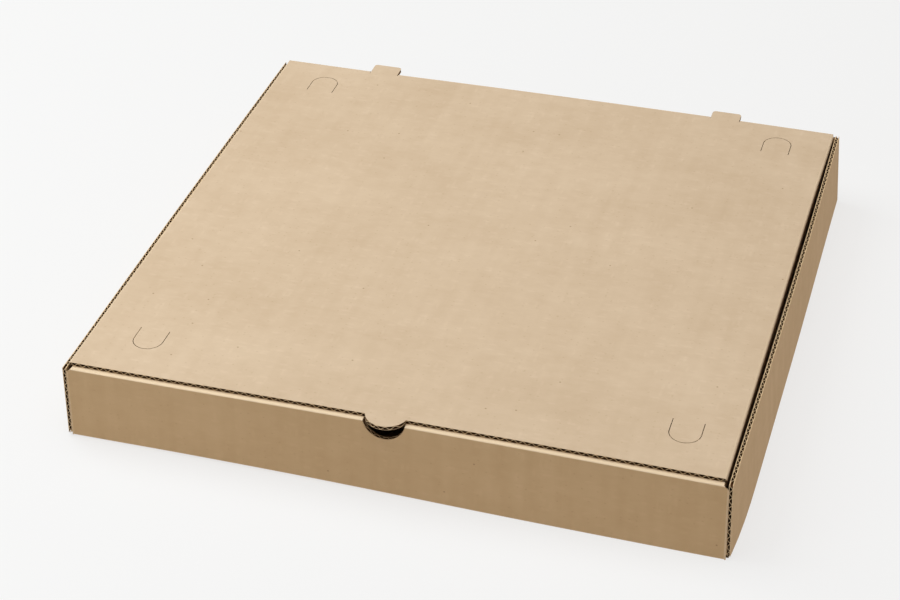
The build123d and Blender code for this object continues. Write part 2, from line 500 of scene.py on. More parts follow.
@dataclass(frozen=True)
class Box:
    """Sizes of the box that its parts share, and how far its panels are out of true.

    They are in millimetres. A reach, and a crown's, lift's or forward's place, is a share of
    half the box's width or depth.
    """

    half_width: float
    half_depth: float
    wall_height: float
    lid_left: float
    lid_right: float
    lid_top: float
    tongue_tip: float
    tab_tip: float
    fold_radius: float = 1.3
    roll_radius: float = 1.0
    lid_fold_radius: float = 1.5
    crease_radius: float = 1.6
    corner_radius: float = 0.9
    corner_lap: float = 0.3
    sheet_gap: float = 0.2
    belly_left: float = 2.0
    belly_right: float = 4.1
    belly_reach: float = 0.4
    foot_left: float = 0.2
    foot_right: float = 0.8
    rear_slack: float = 1.1
    lean_left: float = -0.6
    lean_right: float = 0.9
    crown_left: float = 0.8
    crown_right: float = 1.0
    raise_right: float = 1.8
    lift: float = 1.5
    front_belly: float = 2.6
    rear_belly: float = 2.6
    flare: float = 0.8
    crest_height: float = 1.6
    crown_middle: float = 0.1
    crown_span: float = 0.95
    rear_middle: float = 70.0
    rear_span: float = 220.0
    crest_middle: float = 42.0
    crest_span: float = 255.0
    flare_across: tuple = (200.0, 220.0)
    flare_along: tuple = (120.0, 220.0)
    warp_start: float = 2 / 3
    lift_reach: float = 0.45
    lift_corner: float = 0.6
    forward_start: float = -0.3

    @classmethod
    def read(cls) -> "Box":
        """Read the box's outer sizes from the frame."""
        low, high = (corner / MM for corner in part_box("tray"))
        lid_low, lid_high = (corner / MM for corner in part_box("lid"))
        return cls(
            half_width=high.x - cls.belly_left,
            half_depth=high.y,
            wall_height=high.z,
            lid_left=lid_low.x,
            lid_right=lid_high.x,
            lid_top=lid_high.z,
            tongue_tip=lid_low.y,
            tab_tip=lid_high.y,
        )

    @property
    def crease_y(self) -> float:
        """Inner face of the front and rear walls, where the base ends."""
        return self.half_depth - BOARD.thickness

    @property
    def lid_middle(self) -> float:
        """Middle of the lid along X."""
        return (self.lid_left + self.lid_right) / 2

    @property
    def lid_half(self) -> float:
        """Half the lid's width over its side folds."""
        return (self.lid_right - self.lid_left) / 2

    def side_bow(self, side: float | Array, y: Array, z: Array) -> Array:
        """Work out how far a side wall stands out from straight.

        Its foot bows out by the belly, less the cube of what is left of its reach from the
        front corner, and the right one's slackens towards the rear. Its raw top edge leans
        in or out, and a domed crown holds it further out. Between, the wall is flat.

        Args:
            side: Which wall, by its sign along X.
            y: Places along the wall.
            z: Heights up the wall.

        Returns:
            Distances outwards.
        """
        share, right = y / self.half_depth, np.asarray(side) > 0
        start = np.where(right, self.foot_right, self.foot_left)
        belly = np.where(right, self.belly_right, self.belly_left)
        gone = np.clip((1 + share) / self.belly_reach, 0, 1)
        foot = start + (belly - start) * (1 - (1 - gone) ** 3)
        foot = foot - self.rear_slack * right * smooth(share)
        crown = np.where(right, self.crown_right, self.crown_left)
        top = crown * dome(share, self.crown_middle, self.crown_span)
        top = top - np.where(right, self.lean_right, self.lean_left)
        return foot + (top - foot) * (z / self.wall_height)

    def rear_bow(self, x: Array) -> Array:
        """Return how far the rear crease bows out: a dome round a place right of the middle."""
        return self.rear_belly * dome(x, self.rear_middle, self.rear_span)

    def lid_flare(self, x: Array, y: Array) -> Array:
        """Return how far the lid's left side and its rear right corner stand out along X."""
        right = self.flare * ramp(x, *self.flare_across) * ramp(y, *self.flare_along)
        return right - self.flare * ramp(-x, *self.flare_across)

    def crest(self, x: Array, y: Array) -> Array:
        """Return how far the lid and the top of the front wall lift.

        Across, the lift is a squared dome round a place right of the middle. Rearwards it
        falls with the square of the way to the middle of the box.
        """
        across = dome(x, self.crest_middle, self.crest_span) ** 2
        return self.crest_height * across * np.clip(-y / self.half_depth, 0, 1) ** 2

    def warp(self, points: Array) -> Array:
        """Warp the foot of the tray's front third off the floor and forwards.

        Along the front its left half lifts, half as far at the corner itself, and its right
        half stands out forwards, most at the corner. Both fade up the wall.

        Args:
            points: Places with Z up, in the last axis.

        Returns:
            The warped places.
        """
        x, y, z = np.moveaxis(points, -1, 0)
        share = x / self.half_width
        fade = ramp(-y / self.half_depth, self.warp_start, 1)
        fade = fade * np.clip(1 - z / self.wall_height, 0, 1)
        lift = self.lift * ramp(-share, -self.lift_reach, self.lift_reach)
        lift = lift * (1 - ramp(-share, self.lift_corner, 1) / 2)
        forward = self.front_belly * ramp(share, self.forward_start, 1)
        return np.stack([x, y - forward * fade, z + lift * fade], -1)


@dataclass(frozen=True)
class Vent:
    """Push-in vent: the crease that it turns on and its U-shaped slit, towards one end."""

    name: str
    middle: float
    crease: float
    way: int
    radius: float = 10.5
    leg: float = 13.6
    slit: float = 0.5
    hinge_run: float = 2.2

    @property
    def reach(self) -> float:
        """Place along Y where the slit's round end begins."""
        return self.crease + self.way * self.leg

    def round_end(self, x: Array, radius: float) -> Array:
        """Return the slit's end over x: its leg's end plus the height of the half circle."""
        height = np.sqrt(np.clip(radius**2 - (x - self.middle) ** 2, 0, None))
        return self.reach + self.way * height

    @classmethod
    def read_all(cls) -> list["Vent"]:
        """Read the vents from the frame's joints."""
        found = []
        for joint in frame["joints"]:
            if joint["name"].endswith("_push"):
                x, y, _ = (value / MM for value in joint["pos_m"])
                found.append(cls(joint["child"], x, y, -1 if y < 0 else 1))
        return found


@dataclass(frozen=True)
class TabPair:
    """Two like tabs: their width, the spacing of their middles, their play and their shift."""

    width: float
    spacing: float
    play: float
    shift: float = 0.0

    def places(self, off: float | Array) -> Array:
        """Return the places so far to both sides of the middles of both tabs."""
        centres = self.shift + self.spacing / 2 * np.array([-1, 1])
        return np.concatenate([c + e * np.atleast_1d(off) for c in centres for e in (-1, 1)])

    def edges(self, grow: float) -> Array:
        """Return both sides of both tabs, each grown by so much."""
        return self.places(self.width / 2 + grow)

    def off(self, across: Array) -> Array:
        """Return how far places lie from the middle of the nearer tab."""
        return np.abs(np.abs(across - self.shift) - self.spacing / 2)

    def covers(self, across: Array, grow: float) -> Array:
        """Return whether places lie within a tab that is grown by so much."""
        return self.off(across) < self.width / 2 + grow


@dataclass(frozen=True)
class LockTabs(TabPair):
    """Two tabs of the inner front panel that lock it in slots of the base."""

    width: float = 40.0
    spacing: float = 260.0
    play: float = 0.3
    slot_width: float = 3.3


@dataclass(frozen=True)
class LidTabs(TabPair):
    """Two tabs straight on from the lid, cut out of the rear wall, with round corners."""

    width: float = 22.4
    spacing: float = 280.4
    play: float = 0.6
    shift: float = -1.4
    corner: float = 2.5

    def corners(self) -> Array:
        """Return places that divide the arcs of all their corners evenly."""
        turns = np.radians(np.linspace(0, 90, 7))
        return self.places(self.width / 2 - self.corner * (1 - np.sin(turns)))

    def tip(self, across: Array, reach: float) -> Array:
        """Return the tab's end over its width: straight, with a quarter circle at a corner."""
        off = np.clip(self.off(across) - (self.width / 2 - self.corner), 0, self.corner)
        return reach - self.corner + np.sqrt(self.corner**2 - off**2)


# ---------------------------------------------------------------- tray


@dataclass(kw_only=True)
class Base(TrayPart):
    """Bottom panel between the folds of the side walls, with the slots of the lock tabs."""

    lock: LockTabs
    name: str = "tray_base"
    wave_steps: int = 6
    columns: int = 25
    panel_rows: int = 13
    bow_start: float = 0.75

    def __post_init__(self) -> None:
        """Work out how far the panel reaches to its folds."""
        self.flat = self.box.half_width - self.box.fold_radius

    def stations(self) -> Array:
        """Join the slots' ends and an even division of the base."""
        even = np.linspace(-self.flat, self.flat, self.columns)
        return merge_stations(self.lock.edges(self.lock.play), even)

    def marks(self) -> Array:
        """Join both ends of the base and even rows between the slots' depths."""
        end, inner = self.box.crease_y, self.box.crease_y - self.lock.slot_width
        return merge_stations(np.linspace(-inner, inner, self.panel_rows), [-end, end])

    def kept(self, across: Array) -> Array:
        """Leave out the two slots of the lock tabs at the base's front edge."""
        keep = super().kept(across)
        keep[0] = ~self.lock.covers(across, self.lock.play)
        return keep

    def place(self, across: Array, along: Array, depth: Array) -> Array:
        """Lay the panel flat, its outer face down and its sides bowed: across runs towards -X."""
        near = ramp(np.abs(across) / self.flat, self.bow_start, 1)
        x = -across - np.sign(across) * near * self.box.side_bow(-across, along, 0 * along)
        return self.box.warp(np.stack([x, along, depth], -1))


@dataclass(kw_only=True)
class SideWall(TrayPart):
    """Single side wall with its fold to the base, on the side of its sign along X.

    Its flutes stand upright, and lie level at its two raw ends, so that both show waves.
    """

    side: int
    wave_steps: int = 8
    liner: float = 0.42
    end_run: float = 4.0
    columns: int = 25
    panel_rows: tuple = (8.0, 48.0, 4)

    def __post_init__(self) -> None:
        """Name the wall and lay out its section, from its raw top edge to the base."""
        box, right = self.box, self.side > 0
        self.name = "tray_right_wall" if right else "tray_left_wall"
        self.rise = box.raise_right if right else 0.0
        self.panel = box.wall_height - box.fold_radius
        steps = [Run(self.panel), Fold(box.fold_radius, steps=6)]
        self.path = FoldPath((box.half_width, box.wall_height), -90, steps, origin=0)

    def stations(self) -> Array:
        """Divide the wall evenly, and mark where the base ends."""
        crease, end = self.box.crease_y, self.box.half_depth
        return merge_stations(np.linspace(-crease, crease, self.columns), [-end, end])

    def marks(self) -> Array:
        """Join the section's knots and even rows down the wall."""
        return merge_stations(self.path.knots, np.linspace(*self.panel_rows))

    def kept(self, across: Array) -> Array:
        """Keep the wall, and its fold where the base lies beside it."""
        middle = halfway(self.marks())[:, None]
        return (middle < self.panel) | (np.abs(across)[None] < self.box.crease_y)

    def place(self, across: Array, along: Array, depth: Array) -> Array:
        """Carry the section in X and Z along Y, bowed: across runs rearwards on the left."""
        x, z = self.path.at(along, depth * self.path.squeezed(along))
        y = -self.side * across
        x = self.side * (x + self.box.side_bow(self.side, y, z))
        z = z * (1 + self.rise / self.box.wall_height)
        warped = self.box.warp(np.stack([x, y, z], -1))
        warped[..., 1] = y
        return warped

    def mediums(self, columns: Array) -> list[Sheet]:
        """Build the upright flutes and the level ones at both ends."""
        inner = self.box.half_depth - self.end_run
        sheets = super().mediums(np.array([-inner, inner]))
        down = BOARD.wave_columns(TUCK, self.panel - TUCK, self.wave_steps)[:, None]
        depths = BOARD.wave(down)
        for end in (-1, 1):
            ends = np.sort(end * np.array([inner, self.box.half_depth]))
            along = down + 0 * ends
            sheets.append(self.sheet(ends, depths, Finish.FLUTING, Finish.FLUTING, along))
        return sheets


@dataclass(kw_only=True)
class EndWall(TrayPart):
    """Wall across the box with an ear folded back from each end.

    Up and down it follows its section's path. Past its corners across the box it follows
    the plan of the corner fold and the ear, which stand upright.
    """

    end: WallEnd
    ear_length: float = 60.0
    ear_height: float = 32.0
    ear_shoulder: float = 50.0
    ear_tip: float = 26.0
    ear_trim: float = 0.4
    ear_columns: tuple = (20.0, 38.0)
    shoulder_run: float = 6.0
    bow_start: float = 0.8
    # share of the lighter colour on the corner folds: painted highlight along their rounding, partly
    # burnish
    corner_stretch: float = 0.4
    wave_steps: int = 8

    def __post_init__(self) -> None:
        """Lay out the plan of a corner fold and its ear, and the section."""
        box = self.box
        self.wall_x = box.half_width - BOARD.thickness + box.corner_lap
        self.flat = self.wall_x - box.corner_radius
        self.corner = self.flat + box.corner_radius * math.pi / 2
        steps = [Run(self.flat), Fold(box.corner_radius), Run(self.ear_length - self.ear_trim)]
        self.plan = FoldPath((0, box.half_depth), 0, steps, origin=0)
        self.ear_foot = BOARD.thickness + box.sheet_gap
        self.path = self.section()

    def section(self) -> FoldPath:
        """Lay out the wall's section."""
        raise NotImplementedError

    def ear_stations(self) -> Array:
        """Return the places across the flutes of one corner fold and ear."""
        knots = self.plan.knots[self.plan.knots > self.flat - 2 * BOARD.ease]
        run = self.shoulder_run
        marks = self.corner + np.array([run / 2, run, *self.ear_columns, self.ear_length - run])
        return merge_stations(knots, marks[marks < knots[-1]])

    def ear_top(self, across: Array) -> Array:
        """Return the ear's upper edge: a shoulder at its fold, then its height, then a bevel."""
        run, gone = self.shoulder_run, np.abs(across) - self.corner
        marks = [run / 2, run, self.ear_length - run, self.ear_length]
        return np.interp(gone, marks, [self.ear_shoulder, self.ear_height, self.ear_height, self.ear_tip])

    def outer_at(self, height: Array) -> Array:
        """Return the place along the section of a height up the outer panel."""
        raise NotImplementedError

    def beside_ear(self, marks: Array) -> Array:
        """Return which places along the section lie between an ear's foot and its shoulder."""
        ends = self.outer_at(np.array([self.ear_foot, self.ear_shoulder]))
        return (marks >= ends.min()) & (marks <= ends.max())

    def draw_ears(self, across: Array, marks: Array, along: Array) -> Array:
        """Draw the rows between the ears' foot and shoulder in evenly to their upper edge.

        Args:
            across: Places of the grid across the flutes.
            marks: Where each row lies on an uncut column.
            along: The grid's places along the flutes.

        Returns:
            The places along the flutes, with those of the ears drawn in.
        """
        foot, shoulder = self.outer_at(self.ear_foot), self.outer_at(self.ear_shoulder)
        share = (self.outer_at(self.ear_top(across)) - foot) / (shoulder - foot)
        ear = (np.abs(across) > self.corner + TUCK) & self.beside_ear(marks)
        return np.where(ear, foot + (marks - foot) * share, along)

    def place(self, across: Array, along: Array, depth: Array) -> Array:
        """Follow the section within the flat width and the plan past it."""
        depth = depth * self.path.squeezed(along) * self.plan.squeezed(np.abs(across))
        y, z = self.path.at(along, depth)
        _, upright = self.path.at(along, 0 * depth)
        x_plan, y_plan = self.plan.at(np.abs(across), depth)
        past = np.abs(across) > self.flat
        y = np.where(past, self.end.value * y_plan, y)
        z = np.where(past, upright, z)
        x = np.where(past, x_plan, np.abs(across))
        x = x + ramp(x / self.flat, self.bow_start, 1) * self.box.side_bow(across, y, z)
        x = np.sign(across) * x
        z = z * (1 + self.box.crest(x, y) / self.box.wall_height)
        return self.box.warp(np.stack([x, y, z], -1))

    def stretched(self, across: Array, along: Array) -> Array:
        """Read the corner folds' mask of burnish and painted highlight."""
        return self.corner_stretch * self.plan.stretched(np.abs(across))


@dataclass(kw_only=True)
class FrontWall(EndWall):
    """Double front wall: up from the base, over a flat top and down inside, with a notch."""

    lock: LockTabs
    name: str = "tray_front_wall"
    end: WallEnd = WallEnd.FRONT
    corner_cut: float = 3.0
    notch_radius: float = 14.5
    notch_centre: float = 58.2
    notch_middle: float = -1.5
    notch_play: float = 2.6
    notch_turns: int = 30
    # how far into the roll's first fold its lighter colour starts: painted highlight, and burnish at the
    # fold
    burnish_start: float = 0.6
    fixed_height: float = 30.0
    columns: tuple = (20.0, 210.0, 14)
    outer_rows: tuple = (16.0, 42.0, 53.0)
    inner_rows: tuple = (18.0, 32.0, 42.0, 50.0)

    def section(self) -> FoldPath:
        """Lay out the section from the base's front edge to the lock tabs' ends."""
        box, lock = self.box, self.lock
        low, roll = box.fold_radius, box.roll_radius
        self.foot_run = box.half_depth - low - box.crease_y
        outer = box.wall_height - low - roll
        strip = 2 * BOARD.thickness + box.sheet_gap - 2 * roll
        inner = box.wall_height - roll - lock.play
        self.panel = self.foot_run + low * math.pi / 2
        self.roll_start = self.panel + outer
        self.strip_start = self.roll_start + roll * math.pi / 2
        self.strip_end = self.strip_start + strip
        self.inner_start = self.strip_end + roll * math.pi / 2
        self.half_inner = self.wall_x - BOARD.thickness - 3 * box.sheet_gap
        gap = self.notch_centre - box.wall_height
        self.notch_half = math.sqrt(self.notch_radius**2 - gap**2)
        steps = [Run(self.foot_run), Fold(low), Run(outer), Fold(roll), Run(strip), Fold(roll)]
        return FoldPath((-box.crease_y, 0), 180, [*steps, Run(inner)], origin=0)

    def outer_at(self, height: Array) -> Array:
        """Return the place up the outer panel of a height, round the roll's first fold too."""
        roll, low = self.box.roll_radius, self.box.fold_radius
        over = np.clip((height - (self.box.wall_height - roll)) / roll, 0, 1)
        straight = np.minimum(height, self.box.wall_height - roll) - low
        return self.panel + straight + roll * np.arcsin(over)

    def inner_at(self, height: Array) -> Array:
        """Return the place down the inner panel of a height: the outer one, mirrored."""
        return self.strip_end + self.strip_start - self.outer_at(height)

    def stations(self) -> Array:
        """Join the notch's even turns, the tabs' ends, the corners and the ears."""
        notch = round_steps(self.notch_middle, self.notch_radius, self.notch_turns)
        notch = notch[np.abs(notch - self.notch_middle) < self.notch_half]
        even = np.linspace(*self.columns)
        sides = merge_stations(self.ear_stations(), [self.half_inner], even)
        ends = self.notch_middle + self.notch_half * np.array([-1, 1])
        return merge_stations(notch, ends, self.lock.edges(0), sides, -sides)

    def marks(self) -> Array:
        """Return the section's places where the rows of an uncut column lie."""
        heights = [self.ear_foot, self.ear_height, self.ear_shoulder, *self.outer_rows]
        knots, outer = self.path.knots, self.outer_at(np.array(heights))
        inner = self.inner_at(np.array([self.ear_foot, *self.inner_rows]))
        bends = knots[(knots <= self.panel) | ((knots >= self.roll_start) & (knots <= self.inner_start))]
        ends = [self.roll_start - BOARD.burnish, self.inner_start + BOARD.burnish, knots[-1]]
        return merge_stations(bends, outer, inner, ends)

    def rows(self, across: Array) -> Array:
        """Bend the rows onto the notch, the cut corners and the ears' edges.

        Where the notch cuts a column, the rows between the fixed height and the top strip
        are drawn in evenly to end on its circle, on both panels. In the corner folds they
        end on the straight cut of the corner.
        """
        marks = self.marks()[:, None]
        far, off = np.abs(across), np.abs(across - self.notch_middle)
        circle = np.sqrt(np.clip(self.notch_radius**2 - off**2, 0, None))
        cut = (far - self.half_inner) / (self.corner - self.half_inner)
        height = self.box.wall_height - self.corner_cut * np.clip(cut, 0, 1)
        height = np.where(off < self.notch_half, self.notch_centre - circle, height)
        play = np.where(off < self.notch_half, self.notch_play, 0)
        first, last = self.outer_at(self.fixed_height), self.inner_at(self.fixed_height)
        outer_share = (self.outer_at(height) - first) / (self.strip_start - first)
        inner_share = (last - self.inner_at(height - play)) / (last - self.strip_end)
        up = (marks > first) & (marks <= self.strip_start)
        down = (marks < last) & (marks >= self.strip_end)
        along = np.where(up, first + (marks - first) * outer_share, marks + 0 * across)
        along = np.where(down, last - (last - marks) * inner_share, along)
        return self.draw_ears(across, marks, along)

    def stretched(self, across: Array, along: Array) -> Array:
        """Paint the whole roll lighter, not only its two folds: burnish at the folds, painted highlight
        over the whole roll.
        """
        outside = np.maximum(self.roll_start + self.burnish_start - along, along - self.inner_start)
        roll = 1 - smooth(np.maximum(outside, 0) / BOARD.burnish)
        return np.maximum(roll, super().stretched(across, along))

    def kept(self, across: Array) -> Array:
        """Keep what lies in the wall, the ears, the roll and the lock tabs."""
        middle, far = halfway(self.marks())[:, None], np.abs(across)[None]
        ear = (far > self.corner) & self.beside_ear(middle)
        fold = (far < self.corner) & (middle > self.foot_run) & (middle < self.strip_start)
        wide = (far < self.half_inner) & (middle < self.inner_at(self.ear_foot))
        notch = np.abs(across - self.notch_middle)[None] < self.notch_half
        notch = notch & (middle > self.strip_start) & (middle < self.strip_end)
        tab = self.lock.covers(far, 0) & (middle > self.inner_start)
        return ear | fold | (wide & ~notch) | tab


@dataclass(kw_only=True)
class RearWall(EndWall):
    """Single rear wall with the two openings that the lid's tabs leave."""

    tabs: LidTabs
    name: str = "tray_rear_wall"
    end: WallEnd = WallEnd.REAR
    slot_floor: float = 45.7
    columns: tuple = (20.0, 210.0, 12)
    panel_row: float = 18.0

    def section(self) -> FoldPath:
        """Lay out the section from the lid's crease down to the base's rear edge."""
        box, low = self.box, self.box.fold_radius
        self.panel = box.wall_height - low
        steps = [Run(self.panel), Fold(low), Run(box.half_depth - low - box.crease_y)]
        start = (box.half_depth, box.wall_height)
        return FoldPath(start, -90, steps, pressed=(True, False), origin=0)

    def place(self, across: Array, along: Array, depth: Array) -> Array:
        """Bow the wall's top out with the crease, and its foot not at all."""
        points = super().place(across, along, depth)
        up = np.clip(points[..., 2] / self.box.wall_height, 0, 1)
        points[..., 1] += self.box.rear_bow(points[..., 0]) * up * (np.abs(across) < self.corner)
        return points

    def stations(self) -> Array:
        """Join the slots' sides, the corners and the ears."""
        sides = merge_stations(self.ear_stations(), np.linspace(*self.columns))
        slots = self.tabs.edges(self.tabs.play) + self.box.lid_middle
        return merge_stations(slots, sides, -sides, [0])

    def outer_at(self, height: Array) -> Array:
        """Return the place down the wall of a height."""
        return self.box.wall_height - height

    def marks(self) -> Array:
        """Return the section's places where the rows of an uncut column lie."""
        heights = [self.ear_foot, self.panel_row, self.ear_height, self.slot_floor, self.ear_shoulder]
        return merge_stations(self.path.knots, self.outer_at(np.array(heights)))

    def rows(self, across: Array) -> Array:
        """Return straight rows, drawn in to the upper edges of the ears."""
        marks = self.marks()[:, None]
        return self.draw_ears(across, marks, marks + 0 * across)

    def kept(self, across: Array) -> Array:
        """Keep the wall, its ears and its corner folds, less the slots."""
        middle, far = halfway(self.marks())[:, None], np.abs(across)[None]
        ear = (far > self.corner) & self.beside_ear(middle)
        slot = self.tabs.covers(across - self.box.lid_middle, self.tabs.play)
        slot = slot[None] & (middle < self.outer_at(self.slot_floor))
        wall = (far < self.corner) & (middle < self.panel + self.box.fold_radius * math.pi / 2)
        return ear | (wall & ~slot) | (far < self.flat) & (middle > self.panel)


# ---------------------------------------------------------------- lid


@dataclass(kw_only=True)
class Lid(BoardPart):
    """Top panel with a flap folded down at each side, a thumb tongue and two rear tabs.

    Its rows run from the front edge over a leading and a straight one to the front vents'
    slits, evenly between the vents' creases, and over the rear vents' slits to the rear.
    """

    tabs: LidTabs
    vents: list[Vent]
    name: str = "lid_panel_and_flaps"
    setback: float = 3.9
    flap_length: float = 44.0
    flap_slant: float = 6.5
    flap_taper: float = 16.0
    flap_gap: float = 0.8
    fold_crush: float = 3.0
    tongue_radius: float = 14.3
    tongue_reach: float = 0.8
    tongue_turns: int = 30
    columns: int = 31
    fold_columns: tuple = (0.0, 1.2)
    flap_margin: float = 4.0
    straight: float = -210.0
    lead: float = 0.4
    front_row: int = 3
    between_rows: int = 8
    rear_rows: tuple = (9.0, 4.0, 2.6, 1.3, 0.0)
    tab_shares: tuple = (0.3, 0.75, 1.0)
    squeeze_run: float = 4.0
    bow_start: float = 212.0
    bow_fade: tuple = (3.0, 9.0)

    def __post_init__(self) -> None:
        """Lay out the section across the lid, from one flap's foot to the other's."""
        box = self.box
        slant, radius = math.radians(self.flap_slant), box.lid_fold_radius
        tangent = radius * math.tan((math.pi / 2 + slant) / 2)
        foot_x = box.lid_half - self.flap_length * math.sin(slant)
        foot_z = box.lid_top - self.flap_length * math.cos(slant)
        flap, fold = Run(self.flap_length - tangent), Fold(radius, 90 + self.flap_slant)
        steps = [flap, fold, Run(2 * (box.lid_half - tangent)), fold, flap]
        start = (box.lid_middle - foot_x, foot_z)
        self.path = FoldPath(start, 90 + self.flap_slant, steps)
        self.flat = box.lid_half - tangent
        self.flap_start = self.flat + radius * math.radians(90 + self.flap_slant)
        self.flap_end = self.flap_start + flap.length
        self.front = -box.half_depth + self.setback
        self.tongue_centre = box.tongue_tip + self.tongue_radius - self.tongue_reach
        drop = self.front - self.tongue_centre
        self.tongue_half = math.sqrt(self.tongue_radius**2 - drop**2)

    def pair(self, way: int) -> list[Vent]:
        """Return the left and the right vent of one end of the lid."""
        return sorted((v for v in self.vents if v.way == way), key=lambda vent: vent.middle)

    def stations(self) -> Array:
        """Join the folds, the tongue's and vents' even turns and the tabs' corners."""
        middle = self.box.lid_middle
        tongue = round_steps(0, self.tongue_radius, self.tongue_turns)
        tongue = tongue[np.abs(tongue) < self.tongue_half]
        vents = [round_steps(v.middle - middle, v.radius + v.slit / 2) for v in self.vents]
        ends = [-self.tongue_half, self.tongue_half]
        flaps = np.linspace(self.flap_start + self.flap_margin, self.flap_end - self.flap_margin, 5)
        flaps = merge_stations(flaps, self.flap_start + np.array(self.fold_columns))
        even = np.linspace(-self.flat, self.flat, self.columns)
        return merge_stations(
            self.path.knots, tongue, ends, *vents, self.tabs.corners(), flaps, -flaps, even
        )

    def rows(self, across: Array) -> Array:
        """Bend the rows onto the tongue, the vents' slits and the tabs' tips.

        A vent's slit takes two rows: a straight one on its crease and one that leaves the
        end of its legs for its half circle. On the flaps all rows are drawn in evenly to
        the flap's slanting ends.
        """
        box, far, x = self.box, np.abs(across), across + self.box.lid_middle
        drop = np.sqrt(np.clip(self.tongue_radius**2 - across**2, 0, None))
        tongue = np.where(far < self.tongue_half, self.tongue_centre - drop, self.front)
        creases, ends = {}, {}
        for way in (-1, 1):
            left, right = self.pair(way)
            creases[way] = np.interp(x, [left.middle / 2, right.middle / 2], [left.crease, right.crease])
            ends[way] = np.where(
                x < 0,
                left.round_end(x, left.radius + left.slit / 2),
                right.round_end(x, right.radius + right.slit / 2),
            )
            flat_end = creases[way] + way * left.leg
            ends[way] = np.where(np.abs(x) > 2 * abs(left.middle) / 3, ends[way], flat_end)
        flat = 0 * across
        front = np.minimum(tongue, self.front)
        rear = box.crease_y
        between = np.linspace(0, 1, self.between_rows)[:, None]
        rows = np.concatenate([
            front[None],
            (front * (1 - self.lead) + self.straight * self.lead)[None],
            (self.straight + flat)[None],
            ends[-1][None],
            creases[-1] + (creases[1] - creases[-1]) * between,
            ends[1][None],
            (rear - np.array(self.rear_rows))[:, None] + flat,
        ])
        sunk = np.clip((far - self.flap_start) / (self.flap_end - self.flap_start), 0, 1)
        low = -box.half_depth + 2 * BOARD.thickness + box.sheet_gap + self.flap_gap
        low = low + self.flap_taper * sunk
        high = rear - self.fold_crush - self.flap_taper * sunk
        share = (rows - self.front) / (rear - self.front)
        rows = np.where(far > self.flap_start + TUCK, low + share * (high - low), rows)
        tip = self.tabs.tip(across, box.tab_tip)
        tabs = [rear + (tip - rear) * share for share in self.tab_shares]
        return np.concatenate([rows, tabs])

    def kept(self, across: Array) -> Array:
        """Keep the panel and flaps, less the vents, and the tabs past the rear crease."""
        keep, x = super().kept(across), across + self.box.lid_middle
        for vent in self.vents:
            row = self.front_row if vent.way < 0 else self.front_row + self.between_rows
            keep[row] &= np.abs(x - vent.middle) > vent.radius + vent.slit / 2
        keep[-len(self.tab_shares):] = self.tabs.covers(across, 0)
        return keep

    def place(self, across: Array, along: Array, depth: Array) -> Array:
        """Carry the section in X and Z along Y, squeezed at the rear crease and bowed with it."""
        crease = self.box.crease_y
        near = ramp(along, crease - self.squeeze_run, crease) * (1 - self.tabs.covers(across, 0))
        full = self.path.squeezed(across) * (1 - (1 - BOARD.squeeze) * near)
        x, z = self.path.at(across, depth * full)
        fade_start, fade_end = (crease + off for off in self.bow_fade)
        near = ramp(along, self.bow_start, crease) * (1 - ramp(along, fade_start, fade_end))
        bowed = along + near * self.box.rear_bow(x)
        z = z + self.box.crest(x, along)
        return np.stack([x + self.box.lid_flare(x, along), bowed, z], -1)

    def stretched(self, across: Array, along: Array) -> Array:
        """Read the side folds' mask of burnish and painted highlight."""
        return self.path.stretched(across)


